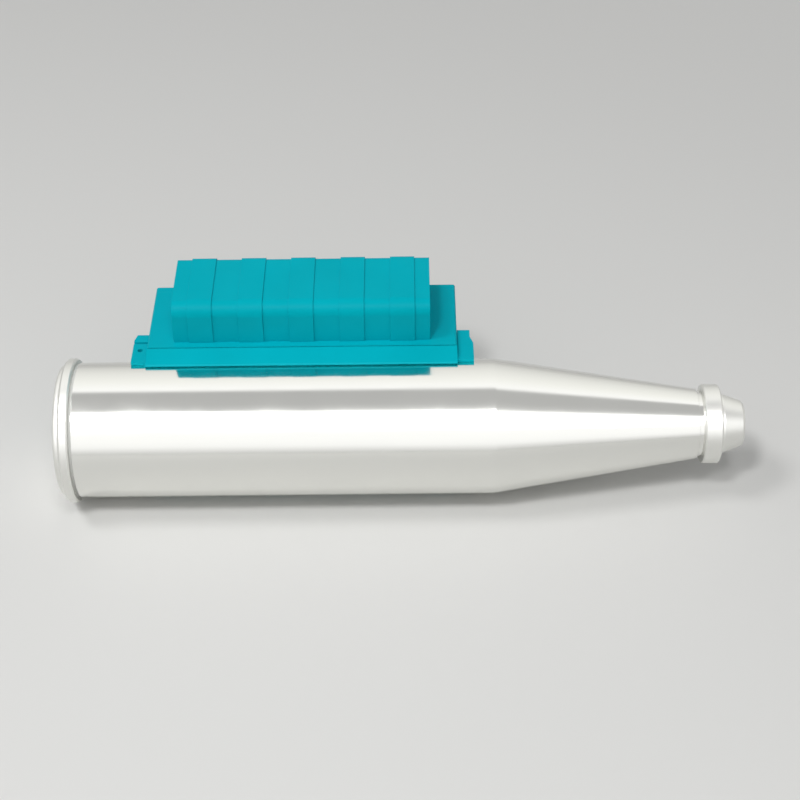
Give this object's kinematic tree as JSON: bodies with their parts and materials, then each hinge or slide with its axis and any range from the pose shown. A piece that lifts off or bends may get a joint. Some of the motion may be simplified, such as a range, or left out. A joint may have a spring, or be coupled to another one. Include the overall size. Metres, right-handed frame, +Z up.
{
  "type": "concrete test hammer",
  "caption": "Rebound test hammer: polished tapered barrel with a sprung plunger and sliding mass inside, and a plastic display unit with ribbed battery cover clasped on its side.",
  "frame": {"origin": "centre of the flat rear end of the rear cover, on the hammer axis", "axes": "+X along the hammer axis from the rear cover to the plunger's tip, +Y towards the display face, +Z up with the battery cover on top"},
  "size_m": [0.271, 0.0847, 0.0776],
  "materials": {
    "polished_aluminium": "turned and polished",
    "steel": "ground",
    "spring_steel": "drawn wire",
    "bronze": "turned",
    "teal_plastic": "fine spark-eroded texture",
    "black_plastic": "fine texture",
    "black_rubber": "moulded",
    "grey_nylon": "turned",
    "felt": "pressed felt",
    "board": "solder mask",
    "lcd": "polariser",
    "window": "clear acrylic",
    "red_key": "silicone",
    "grey_key": "silicone",
    "cell_sleeve": "shrink sleeve"
  },
  "bodies": {
    "housing": {"barrel": "polished_aluminium", "rear_cover": "polished_aluminium", "rear_seal": "grey_nylon", "trip_screw": "steel", "trip_lock_nut": "steel", "front_cap": "polished_aluminium", "felt_washer": "felt", "guide_sleeve": "bronze", "impact_spring": "spring_steel", "return_spring": "spring_steel", "rider_rod": "steel", "rod_brackets": "bronze", "button_bush": "polished_aluminium", "button_spring": "spring_steel", "saddle_base": "teal_plastic", "sensor_board": "board", "saddle_screws": "steel", "unit_housing": "teal_plastic", "display_panel": "teal_plastic", "face_overlay": "black_plastic", "display_window": "window", "lcd_module": "lcd", "main_board": "board", "board_screws": "steel", "keypad_mat": "black_rubber", "panel_screws": "steel", "battery_cover": "teal_plastic", "battery_cells": "cell_sleeve", "battery_contacts": "bronze", "charge_socket": "steel", "flap_pin": "steel"},
    "plunger_carriage": {"plunger": "steel", "guide_rod": "steel", "guide_disc": "bronze", "buffer_spring": "spring_steel", "pawl_pin": "steel", "pawl_spring": "spring_steel"},
    "pawl": {"pawl": "steel"},
    "hammer_mass": {"hammer_mass": "steel"},
    "rider": {"rider": "black_plastic", "rider_magnet": "steel"},
    "lock_button": {"lock_button": "black_plastic"},
    "key_power": {"key_power": "red_key"},
    "key_menu": {"key_menu": "grey_key"},
    "key_up": {"key_up": "grey_key"},
    "key_down": {"key_down": "grey_key"},
    "port_flap": {"port_flap": "black_rubber"}
  },
  "joints": [
    {"name": "plunger_slide", "type": "slide", "parent": "housing", "child": "plunger_carriage", "axis": [1, 0, 0], "range_m": [0, 0.075], "deforming": ["return_spring"]},
    {"name": "pawl_hinge", "type": "hinge", "parent": "plunger_carriage", "child": "pawl", "pos_m": [0.0215, 0, 0.013], "axis": [0, 1, 0], "range_deg": [0, 12]},
    {"name": "mass_slide", "type": "slide", "parent": "housing", "child": "hammer_mass", "axis": [1, 0, 0], "range_m": [-0.075, 0], "stiffness_N_per_m": 785, "deforming": ["impact_spring"]},
    {"name": "rider_slide", "type": "slide", "parent": "housing", "child": "rider", "axis": [1, 0, 0], "range_m": [-0.075, 0]},
    {"name": "button_slide", "type": "slide", "parent": "housing", "child": "lock_button", "axis": [0, -1, 0], "range_m": [0, 0.003], "stiffness_N_per_m": 400, "deforming": ["button_spring"]},
    {"name": "key_power_press", "type": "slide", "parent": "housing", "child": "key_power", "axis": [0, -1, 0], "range_m": [0, 0.0008], "stiffness_N_per_m": 800},
    {"name": "key_menu_press", "type": "slide", "parent": "housing", "child": "key_menu", "axis": [0, -1, 0], "range_m": [0, 0.0008], "stiffness_N_per_m": 800},
    {"name": "key_up_press", "type": "slide", "parent": "housing", "child": "key_up", "axis": [0, -1, 0], "range_m": [0, 0.0008], "stiffness_N_per_m": 800},
    {"name": "key_down_press", "type": "slide", "parent": "housing", "child": "key_down", "axis": [0, -1, 0], "range_m": [0, 0.0008], "stiffness_N_per_m": 800},
    {"name": "flap_hinge", "type": "hinge", "parent": "housing", "child": "port_flap", "pos_m": [0.03335, 0.0453, -0.01], "axis": [0, 0, -1], "range_deg": [0, 110]}
  ],
  "couplings": [
    {"joint": "rider_slide", "follows": "mass_slide", "ratio": 1}
  ]
}
